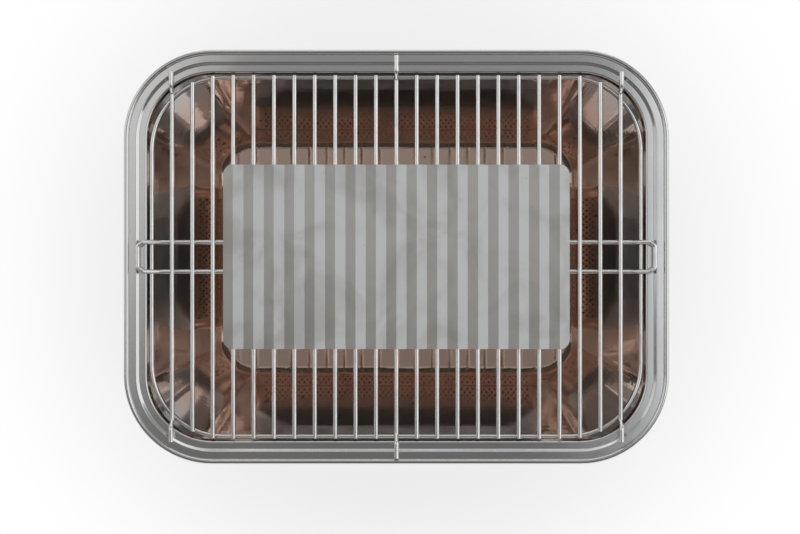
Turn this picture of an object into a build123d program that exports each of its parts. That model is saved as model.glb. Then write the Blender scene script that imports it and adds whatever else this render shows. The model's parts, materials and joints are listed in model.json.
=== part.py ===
from build123d import *
import math
import os

# Smokeless charcoal grill for the table: a tapered housing on a low base with
# a fan, a charcoal drawer through its right short side, a deep lift-out pan
# with a hood over the fire, and a wire grate with a corrugated drip plate.
# Millimetres. The origin is on the table under the middle of the rim.
# +X is to the right, along the long side. +Y is to the back. +Z is up.

# Rim of the pan
rim_length = 360.0
rim_width = 273.5
rim_corner = 58.5
bead_radius = 1.75
bead_lift = 0.25
outer_ledge = 8.2
step_run = 1.6
step_drop = 1.4
neck_inset = 15.0
neck_depth = 10.0
neck_edge = 1.2

# Body of the pan
pan_sheet = 0.8
pan_depth = 71.0
pan_gap = 6.9
pan_wall_thinning = 0.6
pan_floor_length = 248.0
pan_floor_width = 164.0
pan_floor_corner = 24.0
pan_bend = 8.0
fire_opening_length = 200.0
fire_opening_width = 92.0
fire_opening_corner = 10.0
upstand_height = 8.0

# Wire grate
wire_diameter = 3.0
weld_sink = 0.3
ring_clearance = 1.1
ring_corner = 48.0
ring_drop = 5.4
bar_pitch = 13.5
bar_overhang = 1.0
joggle_clearance = 0.5
joggle_bend = 3.0
bar_end_inset = 3.9
corner_bar_end_inset = 6.4
cross_wire_spacing = 19.5
loop_rise_start = 8.0
loop_rise_end = 2.0
loop_end_inset = 9.6
loop_end_width = 14.4
loop_bend = 2.0

# Corrugated drip plate
plate_sheet = 0.5
plate_width = 122.0
fold_count = 17
fold_depth = 2.6
plate_corner = 6.5

# Hood over the fire
hood_sheet = 1.0
screen_sheet = 0.8
hood_margin = 5.2
hood_corner = 8.0
screen_height = 17.0
cap_skirt = 4.0
cap_rise = 6.0
cap_slope_run = 22.0
hole_across = 4.4
hole_pitch = 8.0
hole_rows = 2

# Housing
housing_sheet = 1.2
housing_inset = 0.6
housing_hem_width = 2.2
housing_hem_height = 4.0
housing_flange = 20.0
base_length = 280.0
base_width = 194.0
base_corner = 30.0

# Base tub, feet and screws
foot_height = 8.0
foot_radius = 11.0
foot_edge = 1.5
foot_seat_depth = 5.3
foot_inset = 34.0
tub_height = 34.0
tub_wall = 2.5
tub_edge = 4.0
boss_radius = 4.0
boss_inset = 19.0
foot_boss_height = 9.0
screw_radius = 1.5
screw_hole_clearance = 0.2
screw_length = 9.0
screw_head_radius = 2.8
screw_head_height = 1.6
shield_sheet = 1.0

# Fan and motor
fan_radius = 34.0
fan_tip_gap = 2.0
fan_hub_radius = 12.0
fan_hub_height = 8.0
fan_hub_edge = 2.0
blade_count = 7
blade_chord = 15.0
blade_sheet = 1.5
blade_pitch_angle = 35.0
shroud_wall = 2.5
shroud_height = 25.5
duct_flange_width = 5.0
duct_flange_sheet = 1.2
motor_radius = 12.0
motor_height = 14.0
motor_nose_radius = 4.0
motor_nose_height = 1.5
motor_screw_offset = 8.0
shaft_radius = 1.0
shaft_running_gap = 0.06
shaft_depth = 8.0
hub_lift = 1.0
intake_slots = 12
intake_slot_length = 17.0
intake_slot_width = 5.0
intake_slot_centre = 25.0

# Charcoal drawer
drawer_sheet = 1.0
drawer_floor_gap = 1.1
drawer_height = 38.0
tray_half_width = 46.0
basket_length = 188.0
basket_width = 82.0
basket_depth = 26.0
basket_taper = 4.0
basket_corner = 6.0
basket_flange = 4.0
fire_grate_sheet = 1.5
fire_grate_lift = 3.0
fire_slot_width = 3.0
fire_slot_length = 30.0
fire_slot_pitch = 13.0
runner_width = 3.0
runner_height = 10.0
runner_lift = 1.6
rail_sheet = 1.5
rail_foot = 7.0
rail_end_gap = 2.0
slide_gap = 0.4
front_sheet = 1.8
front_gap = 0.4
front_overlap = 6.0
front_corner = 5.0
opening_margin = 1.5
handle_reach = 179.0
handle_bar_length = 84.0
handle_bar_height = 14.0
handle_bar_depth = 8.0
handle_bar_end = 6.3
handle_bar_edge = 2.4
handle_lift = 4.0
handle_post_radius = 3.5
handle_post_spacing = 60.0
handle_socket_gap = 0.1
igniter_length = 44.0
igniter_width = 60.0
igniter_height = 5.0
igniter_inset = 3.0
air_inlet_radius = 27.0
air_inlet_collar = 3.0

# Battery tray and cells
cell_radius = 7.1
cell_length = 50.2
cell_nub_radius = 2.75
cell_nub_height = 1.5
cell_count = 4
cell_gap = 0.4
tray_wall = 1.2
tray_gap = 0.4
sleeve_wall = 1.5
contact_window_radius = 4.5
contact_radius = 3.0
tray_front_sheet = 2.5
tray_front_margin = 2.5
grip_length = 30.0
grip_height = 4.0
grip_depth = 5.0
grip_edge = 1.3

# Speed knob and its electrics
knob_x = 70.0
knob_radius = 13.0
knob_length = 14.0
knob_flutes = 12
knob_flute_radius = 1.6
knob_edge = 2.0
knob_skirt = 4.7
knob_gap = 0.5
knob_socket_depth = 9.0
pointer_width = 1.6
pointer_length = 9.0
pointer_height = 0.6
control_shaft_radius = 3.0
control_size = 16.0
control_depth = 10.0
board_length = 44.0
board_width = 30.0
board_sheet = 1.6
board_post_height = 5.0
board_post_radius = 2.5
board_gap = 8.0
capacitor_radius = 4.0
capacitor_height = 8.0
capacitor_offset = 10.0
regulator_length = 12.0
regulator_width = 10.0
regulator_height = 5.0
lead_radius = 0.9
lead_bend = 6.0
lead_notch = 4.0

# What lifts or slides clears its seat by this much
rest_gap = 0.3

# Heights, from the table up
z_tub = foot_height
z_tub_floor = z_tub + tub_wall
z_tub_top = z_tub + tub_height
z_shield_top = z_tub_top + shield_sheet
z_flange_top = z_shield_top + housing_sheet
z_drawer = z_flange_top + drawer_floor_gap
z_drawer_top = z_drawer + drawer_height
z_basket_top = z_drawer_top + drawer_sheet
z_pan_floor = z_basket_top + pan_gap + pan_sheet
z_ledge = z_pan_floor + pan_depth
z_inner_ledge = z_ledge - step_drop
z_neck = z_ledge - neck_depth
z_bead = z_ledge + bead_lift
z_housing_top = z_bead - bead_radius - rest_gap

# Wire heights
wire_radius = wire_diameter / 2
wire_stack = wire_diameter - weld_sink
z_ring = z_ledge - ring_drop
z_bar = z_ring + wire_stack
z_rest = z_ledge + rest_gap + wire_radius


def block(x0, x1, y0, y1, z0, z1):
    """A box between two corners."""
    middle = Pos((x0 + x1) / 2, (y0 + y1) / 2, (z0 + z1) / 2)
    return middle * Box(x1 - x0, y1 - y0, z1 - z0)


def upright(x, y, z0, z1, radius):
    """A standing cylinder between two heights."""
    return Pos(x, y, (z0 + z1) / 2) * Cylinder(radius, z1 - z0)


def rounded(length, width, corner, z):
    """A level rounded rectangle about the middle of the grill."""
    return Pos(0, 0, z) * RectangleRounded(length, width, corner)


def rounded_block(length, width, corner, z0, z1):
    return extrude(rounded(length, width, corner, z0), amount=z1 - z0)


def inset_curve(inset, z):
    """The rim's outline, moved inwards."""
    return rounded(rim_length - 2 * inset, rim_width - 2 * inset, rim_corner - inset, z)


def outline_y(x, length, width, corner):
    """Half the width of a rounded rectangle at a distance x from its middle."""
    into_corner = abs(x) - (length / 2 - corner)
    if into_corner <= 0:
        return width / 2
    return width / 2 - corner + math.sqrt(corner**2 - into_corner**2)


def rim_y(x, inset):
    return outline_y(x, rim_length - 2 * inset, rim_width - 2 * inset, rim_corner - inset)


def in_corners(x, y):
    """The four places that mirror one another about the middle."""
    return [(sx * x, sy * y) for sx in (-1, 1) for sy in (-1, 1)]


def screw(x, y, z_seat, length, up):
    """A pan-head screw: its head is above the seat if up is 1, below it if -1."""
    shank = upright(x, y, min(z_seat, z_seat - up * length), max(z_seat, z_seat - up * length),
                    screw_radius)
    z_head = z_seat + up * screw_head_height
    return shank + upright(x, y, min(z_seat, z_head), max(z_seat, z_head), screw_head_radius)


# Pan

pan_throat_length = rim_length - 2 * neck_inset
pan_throat_width = rim_width - 2 * neck_inset


def pan_rim():
    """Rolled bead, two ledges with a step between them, and the short upright neck."""
    path = rounded(rim_length, rim_width, rim_corner, 0).wire()
    side = Plane(origin=path @ 0, x_dir=(1, 0, 0), z_dir=path % 0)
    line = FilletPolyline(
        (2 * bead_radius - pan_sheet, z_ledge),
        (outer_ledge, z_ledge),
        (outer_ledge + step_run, z_inner_ledge),
        (neck_inset, z_inner_ledge),
        (neck_inset, z_neck),
        radius=[pan_sheet, pan_sheet, neck_edge],
    )
    strip = make_face(offset(line, amount=pan_sheet, side=Side.RIGHT, closed=True))
    bead = Pos(bead_radius, z_bead) * Circle(bead_radius)
    return sweep(side * strip, path=path) + sweep(side * bead, path=path)


def pan_wall():
    """Sloping walls and floor, with the fire opening and its upstand."""
    spread = pan_sheet * pan_wall_thinning
    throat = inset_curve(neck_inset, z_neck)
    throat_outside = inset_curve(neck_inset - pan_sheet, z_neck)
    floor = rounded(pan_floor_length, pan_floor_width, pan_floor_corner, z_pan_floor)
    underside = rounded(
        pan_floor_length + 2 * spread,
        pan_floor_width + 2 * spread,
        pan_floor_corner + spread,
        z_pan_floor - pan_sheet,
    )
    inside = loft([floor, throat], ruled=True)
    outside = loft([underside, throat_outside], ruled=True)
    inside = fillet(inside.edges().group_by(Axis.Z)[0], pan_bend)
    outside = fillet(outside.edges().group_by(Axis.Z)[0], pan_bend + pan_sheet)
    z_low = z_pan_floor - pan_sheet
    z_high = z_pan_floor + upstand_height
    collar = rounded_block(
        fire_opening_length + 2 * pan_sheet,
        fire_opening_width + 2 * pan_sheet,
        fire_opening_corner + pan_sheet,
        z_low,
        z_high,
    )
    hole = rounded_block(
        fire_opening_length, fire_opening_width, fire_opening_corner, z_low - 1, z_high + 1
    )
    return outside - inside + collar - hole


def inner_pan():
    return pan_rim() + pan_wall()


# Hood over the fire

screen_length = fire_opening_length + 2 * pan_sheet + 2 * hood_margin
screen_width = fire_opening_width + 2 * pan_sheet + 2 * hood_margin
z_screen = z_pan_floor + rest_gap
z_screen_top = z_screen + screen_height


def hood_cap():
    """Shallow hipped cap with a turned-down skirt that the screens are welded in."""
    z_eave = z_screen_top + hood_sheet

    def shape(grow, drop):
        skirt = rounded_block(
            screen_length + 2 * grow, screen_width + 2 * grow, hood_corner + grow,
            z_screen_top - cap_skirt - drop, z_eave - hood_sheet + grow,
        )
        low = rounded(
            screen_length + 2 * grow, screen_width + 2 * grow, hood_corner + grow,
            z_eave - hood_sheet + grow,
        )
        high = rounded(
            screen_length - 2 * cap_slope_run + 2 * grow,
            screen_width - 2 * cap_slope_run + 2 * grow,
            hood_corner + grow,
            z_eave - hood_sheet + grow + cap_rise,
        )
        return skirt + loft([low, high], ruled=True)

    return shape(hood_sheet, 0) - shape(0, 1)


def perforated_plate(length, z0, z1):
    """An upright plate along X, its outer face on the XZ plane, with rows of six-sided holes."""
    plate = block(-length / 2, length / 2, 0, screen_sheet, z0, z1)
    per_row = int((length - hole_pitch) / hole_pitch)
    z_middle = (z0 + z1 - cap_skirt) / 2
    row_pitch = hole_pitch * math.sin(math.radians(60))
    holes = []
    for row in range(hole_rows):
        z = z_middle + (row - (hole_rows - 1) / 2) * row_pitch
        count = per_row - row % 2
        for index in range(count):
            x = (index - (count - 1) / 2) * hole_pitch
            hexagon = RegularPolygon(hole_across / 2, 6, major_radius=False)
            prism = extrude(Plane.XZ * hexagon, amount=2 * screen_sheet, both=True)
            holes.append(Pos(x, 0, z) * prism)
    return plate - holes


def hood_screens():
    """Front, back, left and right perforated sides, each a flat plate."""
    long_run = screen_length - 2 * hood_corner
    short_run = screen_width - 2 * hood_corner
    long_plate = perforated_plate(long_run, z_screen, z_screen_top)
    short_plate = perforated_plate(short_run, z_screen, z_screen_top)
    return {
        "hood_screen_front": Pos(0, -screen_width / 2, 0) * long_plate,
        "hood_screen_back": Pos(0, screen_width / 2, 0) * Rot(0, 0, 180) * long_plate,
        "hood_screen_left": Pos(-screen_length / 2, 0, 0) * Rot(0, 0, -90) * short_plate,
        "hood_screen_right": Pos(screen_length / 2, 0, 0) * Rot(0, 0, 90) * short_plate,
    }


def hood_corner_posts():
    """Four quarter-round posts that join the screens."""
    band = rounded_block(screen_length, screen_width, hood_corner, z_screen, z_screen_top)
    band -= rounded_block(
        screen_length - 2 * screen_sheet, screen_width - 2 * screen_sheet,
        hood_corner - screen_sheet, z_screen, z_screen_top,
    )
    x_run = screen_length / 2 - hood_corner
    y_run = screen_width / 2 - hood_corner
    band -= block(-x_run, x_run, -screen_width, screen_width, z_screen, z_screen_top)
    band -= block(-screen_length, screen_length, -y_run, y_run, z_screen, z_screen_top)
    return band


# Grate

ring_length = pan_throat_length - 2 * (ring_clearance + wire_radius)
ring_width = pan_throat_width - 2 * (ring_clearance + wire_radius)
bars_each_side = int((ring_length / 2 - wire_radius) / bar_pitch)


def wire_along(path):
    """Round wire whose centre follows the path."""
    start = Plane(origin=path @ 0, z_dir=path % 0)
    return sweep(start * Circle(wire_radius), path=path)


def ring_y(x):
    return outline_y(x, ring_length, ring_width, ring_corner)


def grate_ring():
    return wire_along(rounded(ring_length, ring_width, ring_corner, z_ring).wire())


def short_bars():
    """Every bar but the middle one and the outermost two, ending on the ring."""
    bars = []
    for index in range(1, bars_each_side):
        for x in (-index * bar_pitch, index * bar_pitch):
            reach = ring_y(x) + bar_overhang
            bars.append(Pos(x, 0, z_bar) * Rot(90, 0, 0) * Cylinder(wire_radius, 2 * reach))
    return Compound(children=bars)


def long_bar(x, end_inset):
    """A bar whose ends step up over the neck and rest on the rim's outer ledge."""
    end = rim_y(abs(x) + wire_radius, end_inset)
    top = rim_y(x, neck_inset) + joggle_clearance
    foot = top - (z_rest - z_bar)
    half = [(x, foot, z_bar), (x, top, z_rest), (x, end, z_rest)]
    mirrored = [(px, -py, pz) for px, py, pz in reversed(half)]
    return wire_along(FilletPolyline(*mirrored, *half, radius=joggle_bend))


def long_bars():
    x = bars_each_side * bar_pitch
    return Compound(children=[
        long_bar(-x, corner_bar_end_inset),
        long_bar(0, bar_end_inset),
        long_bar(x, corner_bar_end_inset),
    ])


def loop_wire():
    """One closed wire under the bars; its ends rise over the ring to make the two grips."""
    y = cross_wire_spacing / 2
    x_low = pan_throat_length / 2 - loop_rise_start
    x_high = pan_throat_length / 2 + loop_rise_end
    x_end = rim_length / 2 - loop_end_inset
    y_end = loop_end_width / 2
    right = [(x_low, y, z_ring), (x_high, y, z_rest), (x_end, y_end, z_rest)]
    quarter_turn = right + [(px, -py, pz) for px, py, pz in reversed(right)]
    other = [(-px, -py, pz) for px, py, pz in quarter_turn]
    return wire_along(FilletPolyline(*quarter_turn, *other, radius=loop_bend, close=True))


def drip_plate():
    """Sheet folded to a V over every bar, so that fat runs off between the bars."""
    half_pitch = bar_pitch / 2
    slope = math.atan2(fold_depth, half_pitch)
    flank_clearance = wire_radius + rest_gap
    z_ridge = z_bar + flank_clearance / math.cos(slope)
    thickness = plate_sheet / math.cos(slope)
    flanks = 2 * fold_count
    underside = []
    for index in range(flanks + 1):
        drop = 0 if index % 2 else fold_depth
        underside.append(((index - flanks / 2) * half_pitch, z_ridge - drop))
    topside = [(x, z + thickness) for x, z in reversed(underside)]
    section = make_face(Polyline(*underside, *topside, close=True))
    folded = extrude(Plane.XZ * section, amount=plate_width / 2, both=True)
    outline = rounded_block(
        flanks * half_pitch, plate_width, plate_corner, z_bar - fold_depth, z_ridge + 2
    )
    return folded & outline


# Housing and base

def housing_level(z, grow):
    """The housing's outline at a height, a little larger or smaller all round."""
    share = (z - z_shield_top) / (z_housing_top - z_shield_top)
    top_length = rim_length - 2 * housing_inset
    top_width = rim_width - 2 * housing_inset
    top_corner = rim_corner - housing_inset
    return rounded(
        base_length + share * (top_length - base_length) + 2 * grow,
        base_width + share * (top_width - base_width) + 2 * grow,
        base_corner + share * (top_corner - base_corner) + grow,
        z,
    )


def housing_form(grow, z0, z1):
    return loft([housing_level(z0, grow), housing_level(z1, grow)], ruled=True)


drawer_opening_half = tray_half_width + runner_width + opening_margin
z_opening = z_drawer - drawer_floor_gap / 2
z_opening_top = z_basket_top + opening_margin


def screw_places():
    return in_corners(base_length / 2 - boss_inset, base_width / 2 - boss_inset)


def foot_places():
    return in_corners(base_length / 2 - foot_inset, base_width / 2 - foot_inset)


def screw_clearance_holes(z0, z1):
    radius = screw_radius + screw_hole_clearance
    return [upright(x, y, z0, z1, radius) for x, y in screw_places()]


def outer_housing():
    """Tapered sheet shell; the pan's bead rests on its hemmed top, its foot is a flange."""
    shell = housing_form(0, z_shield_top, z_housing_top)
    z_hem = z_housing_top - housing_hem_height
    shell -= housing_form(-housing_sheet, z_flange_top, z_hem)
    shell -= housing_form(-housing_hem_width, z_hem, z_housing_top)
    shell -= rounded_block(
        base_length - 2 * housing_flange, base_width - 2 * housing_flange,
        base_corner - housing_flange, z_shield_top, z_flange_top,
    )
    shell -= block(
        base_length / 4, rim_length, -drawer_opening_half, drawer_opening_half,
        z_opening, z_opening_top,
    )
    return shell - screw_clearance_holes(z_shield_top, z_flange_top)


def heat_shield():
    """Flat sheet between the fan compartment and the drawer."""
    sheet = rounded_block(base_length, base_width, base_corner, z_tub_top, z_shield_top)
    sheet -= upright(0, 0, z_tub_top, z_shield_top, fan_radius + fan_tip_gap)
    return sheet - screw_clearance_holes(z_tub_top, z_shield_top)


def radial_slots(count, radius, length, width, z0, z1):
    slot = block(radius - length / 2, radius + length / 2, -width / 2, width / 2, z0, z1)
    return [Rot(0, 0, 360 * index / count) * slot for index in range(count)]


def base_tub():
    """Moulded base: screw bosses, an air intake under the fan, openings for knob and cells."""
    tub = rounded_block(base_length, base_width, base_corner, z_tub, z_tub_top)
    tub = fillet(tub.edges().group_by(Axis.Z)[0], tub_edge)
    tub -= rounded_block(
        base_length - 2 * tub_wall, base_width - 2 * tub_wall, base_corner - tub_wall,
        z_tub_floor, z_tub_top,
    )
    for x, y in screw_places():
        tub += upright(x, y, z_tub_floor, z_tub_top, boss_radius)
    for x, y in foot_places():
        tub += upright(x, y, z_tub_floor, z_tub_floor + foot_boss_height, boss_radius)
    for x, y in board_places():
        tub += upright(x, y, z_tub_floor, z_tub_floor + board_post_height, board_post_radius)
    tub -= radial_slots(
        intake_slots, intake_slot_centre, intake_slot_length, intake_slot_width,
        z_tub, z_tub_floor,
    )
    for x in (-motor_screw_offset, motor_screw_offset):
        tub -= upright(x, 0, z_tub, z_tub_floor, screw_radius + screw_hole_clearance)
    for x, y in screw_places():
        tub -= upright(x, y, z_tub_top - screw_length, z_tub_top, screw_radius)
    for x, y in foot_places():
        tub -= upright(x, y, z_tub, z_tub + screw_length, screw_radius)
    tub -= block(
        -base_length, -base_length / 2 + 2 * tub_wall, -sleeve_inner_half, sleeve_inner_half,
        z_cell_tray - tray_gap, z_cell_tray_top + tray_gap,
    )
    shaft_hole = Cylinder(control_shaft_radius + knob_gap, 4 * tub_wall)
    return tub - Pos(knob_x, -base_width / 2, z_knob) * Rot(90, 0, 0) * shaft_hole


def feet():
    """Four rubber feet with a sunk seat for their screws."""
    pads = []
    for x, y in foot_places():
        pad = upright(x, y, 0, foot_height, foot_radius)
        pad = fillet(pad.edges().group_by(Axis.Z)[0], foot_edge)
        pad -= upright(x, y, 0, foot_seat_depth, screw_head_radius + screw_hole_clearance)
        pad -= upright(x, y, foot_seat_depth, foot_height, screw_radius + screw_hole_clearance)
        pads.append(pad)
    return Compound(children=pads)


def foot_screws():
    z_seat = foot_seat_depth
    length = foot_height - z_seat + screw_length
    return Compound(children=[screw(x, y, z_seat, length, -1) for x, y in foot_places()])


def housing_screws():
    length = z_flange_top - z_tub_top + screw_length
    return Compound(children=[screw(x, y, z_flange_top, length, 1) for x, y in screw_places()])


# Fan

z_motor_top = z_tub_floor + motor_height
z_motor_nose = z_motor_top + motor_nose_height
z_hub = z_motor_nose + hub_lift
z_shroud_top = z_tub_floor + shroud_height
shroud_bore = fan_radius + fan_tip_gap


def fan_motor():
    motor = upright(0, 0, z_tub_floor, z_motor_top, motor_radius)
    motor += upright(0, 0, z_motor_top, z_motor_nose, motor_nose_radius)
    motor -= upright(
        0, 0, z_motor_nose - shaft_depth, z_motor_nose, shaft_radius + shaft_running_gap
    )
    for x in (-motor_screw_offset, motor_screw_offset):
        motor -= upright(x, 0, z_tub_floor, z_tub + screw_length, screw_radius)
    return motor


def motor_screws():
    places = (-motor_screw_offset, motor_screw_offset)
    return Compound(children=[screw(x, 0, z_tub, screw_length, -1) for x in places])


def fan_shaft():
    return upright(0, 0, z_motor_nose - shaft_depth + rest_gap, z_hub + fan_hub_height,
                   shaft_radius)


def impeller():
    """Hub with pitched blades, open between them, that blow air upwards."""
    hub = upright(0, 0, z_hub, z_hub + fan_hub_height, fan_hub_radius)
    hub = fillet(hub.edges().group_by(Axis.Z)[-1], fan_hub_edge)
    z_middle = z_hub + fan_hub_height / 2
    blade = Pos(fan_radius / 2, 0, 0) * Rot(blade_pitch_angle, 0, 0)
    blade *= Box(fan_radius, blade_chord, blade_sheet)
    blade = Pos(0, 0, z_middle) * blade
    swept_disc = upright(0, 0, z_hub, z_hub + fan_hub_height, fan_radius)
    blade = blade & swept_disc
    wheel = hub
    for index in range(blade_count):
        wheel += Rot(0, 0, 360 * index / blade_count) * blade
    return wheel - upright(0, 0, z_hub, z_hub + fan_hub_height, shaft_radius)


def fan_shroud():
    """Ring round the impeller, with a notch at the floor for the motor's lead."""
    ring = upright(0, 0, z_tub_floor, z_shroud_top, shroud_bore + shroud_wall)
    ring -= upright(0, 0, z_tub_floor, z_shroud_top, shroud_bore)
    return ring - block(-lead_notch / 2, lead_notch / 2, -2 * shroud_bore, 0,
                        z_tub_floor, z_tub_floor + lead_notch)


def air_duct():
    """Collar that carries the air from the shroud to the hole in the heat shield."""
    duct = upright(0, 0, z_shroud_top, z_tub_top, shroud_bore + shroud_wall)
    duct += upright(
        0, 0, z_tub_top - duct_flange_sheet, z_tub_top,
        shroud_bore + shroud_wall + duct_flange_width,
    )
    return duct - upright(0, 0, z_shroud_top, z_tub_top, shroud_bore)


# Battery tray

cells_width = cell_count * 2 * cell_radius + (cell_count + 1) * cell_gap
cell_bay_length = cell_length + cell_nub_height + 2 * cell_gap
z_sleeve = z_tub_floor
z_cell_tray = z_sleeve + sleeve_wall + tray_gap
z_cell_tray_top = z_cell_tray + tray_wall + 2 * cell_radius + cell_gap
z_cell = z_cell_tray + tray_wall + cell_radius
x_cell_tray = -base_length / 2 - rest_gap
x_bay = x_cell_tray + tray_wall
x_bay_end = x_bay + cell_bay_length
x_cell_tray_end = x_bay_end + tray_wall
cell_tray_half = cells_width / 2 + tray_wall
sleeve_inner_half = cell_tray_half + tray_gap
x_sleeve = -base_length / 2 + tub_wall
x_sleeve_end = x_cell_tray_end + 2 * tray_gap


def cell_places():
    pitch = 2 * cell_radius + cell_gap
    return [(index - (cell_count - 1) / 2) * pitch for index in range(cell_count)]


def along_x(x0, x1, y, z, radius):
    return Pos((x0 + x1) / 2, y, z) * Rot(0, 90, 0) * Cylinder(radius, x1 - x0)


def battery_tray():
    """Open tray for the cells, with windows in its inner wall for the contacts."""
    tray = block(x_cell_tray, x_cell_tray_end, -cell_tray_half, cell_tray_half,
                 z_cell_tray, z_cell_tray_top)
    tray -= block(x_bay, x_bay_end, -cells_width / 2, cells_width / 2,
                  z_cell_tray + tray_wall, z_cell_tray_top)
    for y in cell_places():
        tray -= along_x(x_bay_end, x_cell_tray_end, y, z_cell, contact_window_radius)
    return tray


def battery_tray_front():
    """Cover plate outside the tub wall, with a ridge to pull it by."""
    x_face = x_cell_tray
    half = sleeve_inner_half + tray_front_margin
    z0 = z_cell_tray - tray_front_margin
    z1 = z_cell_tray_top + tray_front_margin
    front = block(x_face - tray_front_sheet, x_face, -half, half, z0, z1)
    front = fillet(front.edges().filter_by(Axis.X), tray_front_margin)
    x_out = x_face - tray_front_sheet
    z_grip = (z0 + z1) / 2
    grip = block(x_out - grip_depth, x_out, -grip_length / 2, grip_length / 2,
                 z_grip - grip_height / 2, z_grip + grip_height / 2)
    grip = fillet(grip.edges().group_by(Axis.X)[0], grip_edge)
    return front + grip


def battery_cells():
    cells = []
    for index, y in enumerate(cell_places()):
        x0 = x_bay + cell_gap
        x1 = x0 + cell_length + cell_nub_height
        body_start = x0 if index % 2 else x0 + cell_nub_height
        cell = along_x(body_start, body_start + cell_length, y, z_cell, cell_radius)
        cell += along_x(x0, x1, y, z_cell, cell_nub_radius)
        cells.append(cell)
    return Compound(children=cells)


def battery_sleeve():
    """Fixed sleeve that the battery tray slides in."""
    outer_half = sleeve_inner_half + sleeve_wall
    z_top = z_cell_tray_top + tray_gap + sleeve_wall
    sleeve = block(x_sleeve, x_sleeve_end + sleeve_wall, -outer_half, outer_half, z_sleeve, z_top)
    sleeve -= block(x_sleeve, x_sleeve_end, -sleeve_inner_half, sleeve_inner_half,
                    z_sleeve + sleeve_wall, z_top - sleeve_wall)
    return sleeve


def battery_contacts():
    """Spring pads on the sleeve's end wall, one for each cell."""
    pads = []
    for y in cell_places():
        pads.append(along_x(x_bay_end + cell_gap, x_sleeve_end, y, z_cell, contact_radius))
    return Compound(children=pads)


# Speed knob

z_knob = z_tub + tub_height / 2
y_tub_front = -base_width / 2
y_tub_inside = y_tub_front + tub_wall


def along_y(x, y0, y1, z, radius):
    return Pos(x, (y0 + y1) / 2, z) * Rot(90, 0, 0) * Cylinder(radius, y1 - y0)


def speed_knob():
    """Turned knob with grip flutes and a socket for its shaft."""
    y_back = y_tub_front - knob_gap
    y_face = y_back - knob_length
    knob = along_y(knob_x, y_face, y_back, z_knob, knob_radius)
    knob = fillet(knob.edges().group_by(Axis.Y)[0], knob_edge)
    for index in range(knob_flutes):
        turn = math.radians(360 * (index + 0.5) / knob_flutes)
        x = knob_x + knob_radius * math.cos(turn)
        z = z_knob + knob_radius * math.sin(turn)
        knob -= along_y(x, y_face, y_back - knob_skirt, z, knob_flute_radius)
    knob -= along_y(knob_x, y_back - knob_socket_depth, y_back, z_knob, control_shaft_radius)
    return knob - pointer_block(y_face)


def pointer_block(y_face):
    z_tip = z_knob + knob_radius - 2 * pointer_width
    return block(
        knob_x - pointer_width / 2, knob_x + pointer_width / 2,
        y_face, y_face + pointer_height, z_tip - pointer_length, z_tip,
    )


def knob_pointer():
    return pointer_block(y_tub_front - knob_gap - knob_length)


def control_shaft():
    y_end = y_tub_front - knob_gap - knob_socket_depth
    return along_y(knob_x, y_end, y_tub_inside + control_depth / 2, z_knob, control_shaft_radius)


def speed_control():
    """Rotary switch body against the inside of the tub's front wall."""
    half = control_size / 2
    body = block(knob_x - half, knob_x + half, y_tub_inside, y_tub_inside + control_depth,
                 z_knob - half, z_knob + half)
    bore = control_shaft_radius + shaft_running_gap
    y_bore_end = y_tub_inside + control_depth / 2 + rest_gap
    return body - along_y(knob_x, y_tub_inside, y_bore_end, z_knob, bore)


board_x = knob_x
board_y = y_tub_inside + control_depth + board_gap + board_width / 2
z_board = z_tub_floor + board_post_height


def board_places():
    inset = 2 * board_post_radius
    x_half = board_length / 2 - inset
    y_half = board_width / 2 - inset
    return [(board_x + sx * x_half, board_y + sy * y_half) for sx in (-1, 1) for sy in (-1, 1)]


def control_board():
    """Circuit board on four posts, with its two tall components."""
    board = block(board_x - board_length / 2, board_x + board_length / 2,
                  board_y - board_width / 2, board_y + board_width / 2,
                  z_board, z_board + board_sheet)
    z_part = z_board + board_sheet
    board += upright(board_x - capacitor_offset, board_y, z_part, z_part + capacitor_height,
                     capacitor_radius)
    return board + block(
        board_x + capacitor_offset - regulator_length / 2,
        board_x + capacitor_offset + regulator_length / 2,
        board_y - regulator_width / 2, board_y + regulator_width / 2,
        z_part, z_part + regulator_height,
    )


def lead(points):
    """Insulated wire along straight runs joined by arcs."""
    path = FilletPolyline(*points, radius=lead_bend)
    start = Plane(origin=path @ 0, z_dir=path % 0)
    return sweep(start * Circle(lead_radius), path=path)


z_lead = z_tub_floor + lead_radius + rest_gap


def battery_lead():
    """From the sleeve's end wall, round the shroud, to the circuit board's edge."""
    x_start = x_sleeve_end + sleeve_wall
    y_start = -sleeve_inner_half + 2 * lead_bend
    x_board = board_x - board_length / 2
    z_end = z_board + board_sheet / 2
    y_round = -(shroud_bore + shroud_wall + 2 * lead_bend)
    return lead([
        (x_start, y_start, z_end),
        (x_start + 3 * lead_bend, y_start, z_end),
        (x_start + 5 * lead_bend, y_round, z_end),
        (x_board - 3 * lead_bend, board_y, z_end),
        (x_board, board_y, z_end),
    ])


def motor_lead():
    """From the circuit board's edge, through the shroud's notch, to the motor."""
    x_board = board_x - board_length / 2
    y_end = board_y + board_width / 2 - lead_bend
    z_end = z_board + board_sheet / 2
    return lead([
        (x_board, y_end, z_end),
        (x_board - 2 * lead_bend, y_end, z_end),
        (2 * lead_bend, y_end, z_lead),
        (0, y_end + 2 * lead_bend, z_lead),
        (0, -motor_radius, z_lead),
    ])


# Drawer

basket_half_x = basket_length / 2
basket_half_y = basket_width / 2
x_tray_back = -(basket_half_x + basket_flange)
x_divider = basket_half_x + basket_flange
rail_half = base_length / 2 - housing_flange - rail_end_gap
z_tray_floor = z_drawer + drawer_sheet
z_basket = z_drawer_top - basket_depth


def cut_to_front(shape):
    """Cut a piece off along the drawer front's sloping inner face."""
    return shape & housing_form(front_gap, z_shield_top, z_housing_top)


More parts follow.
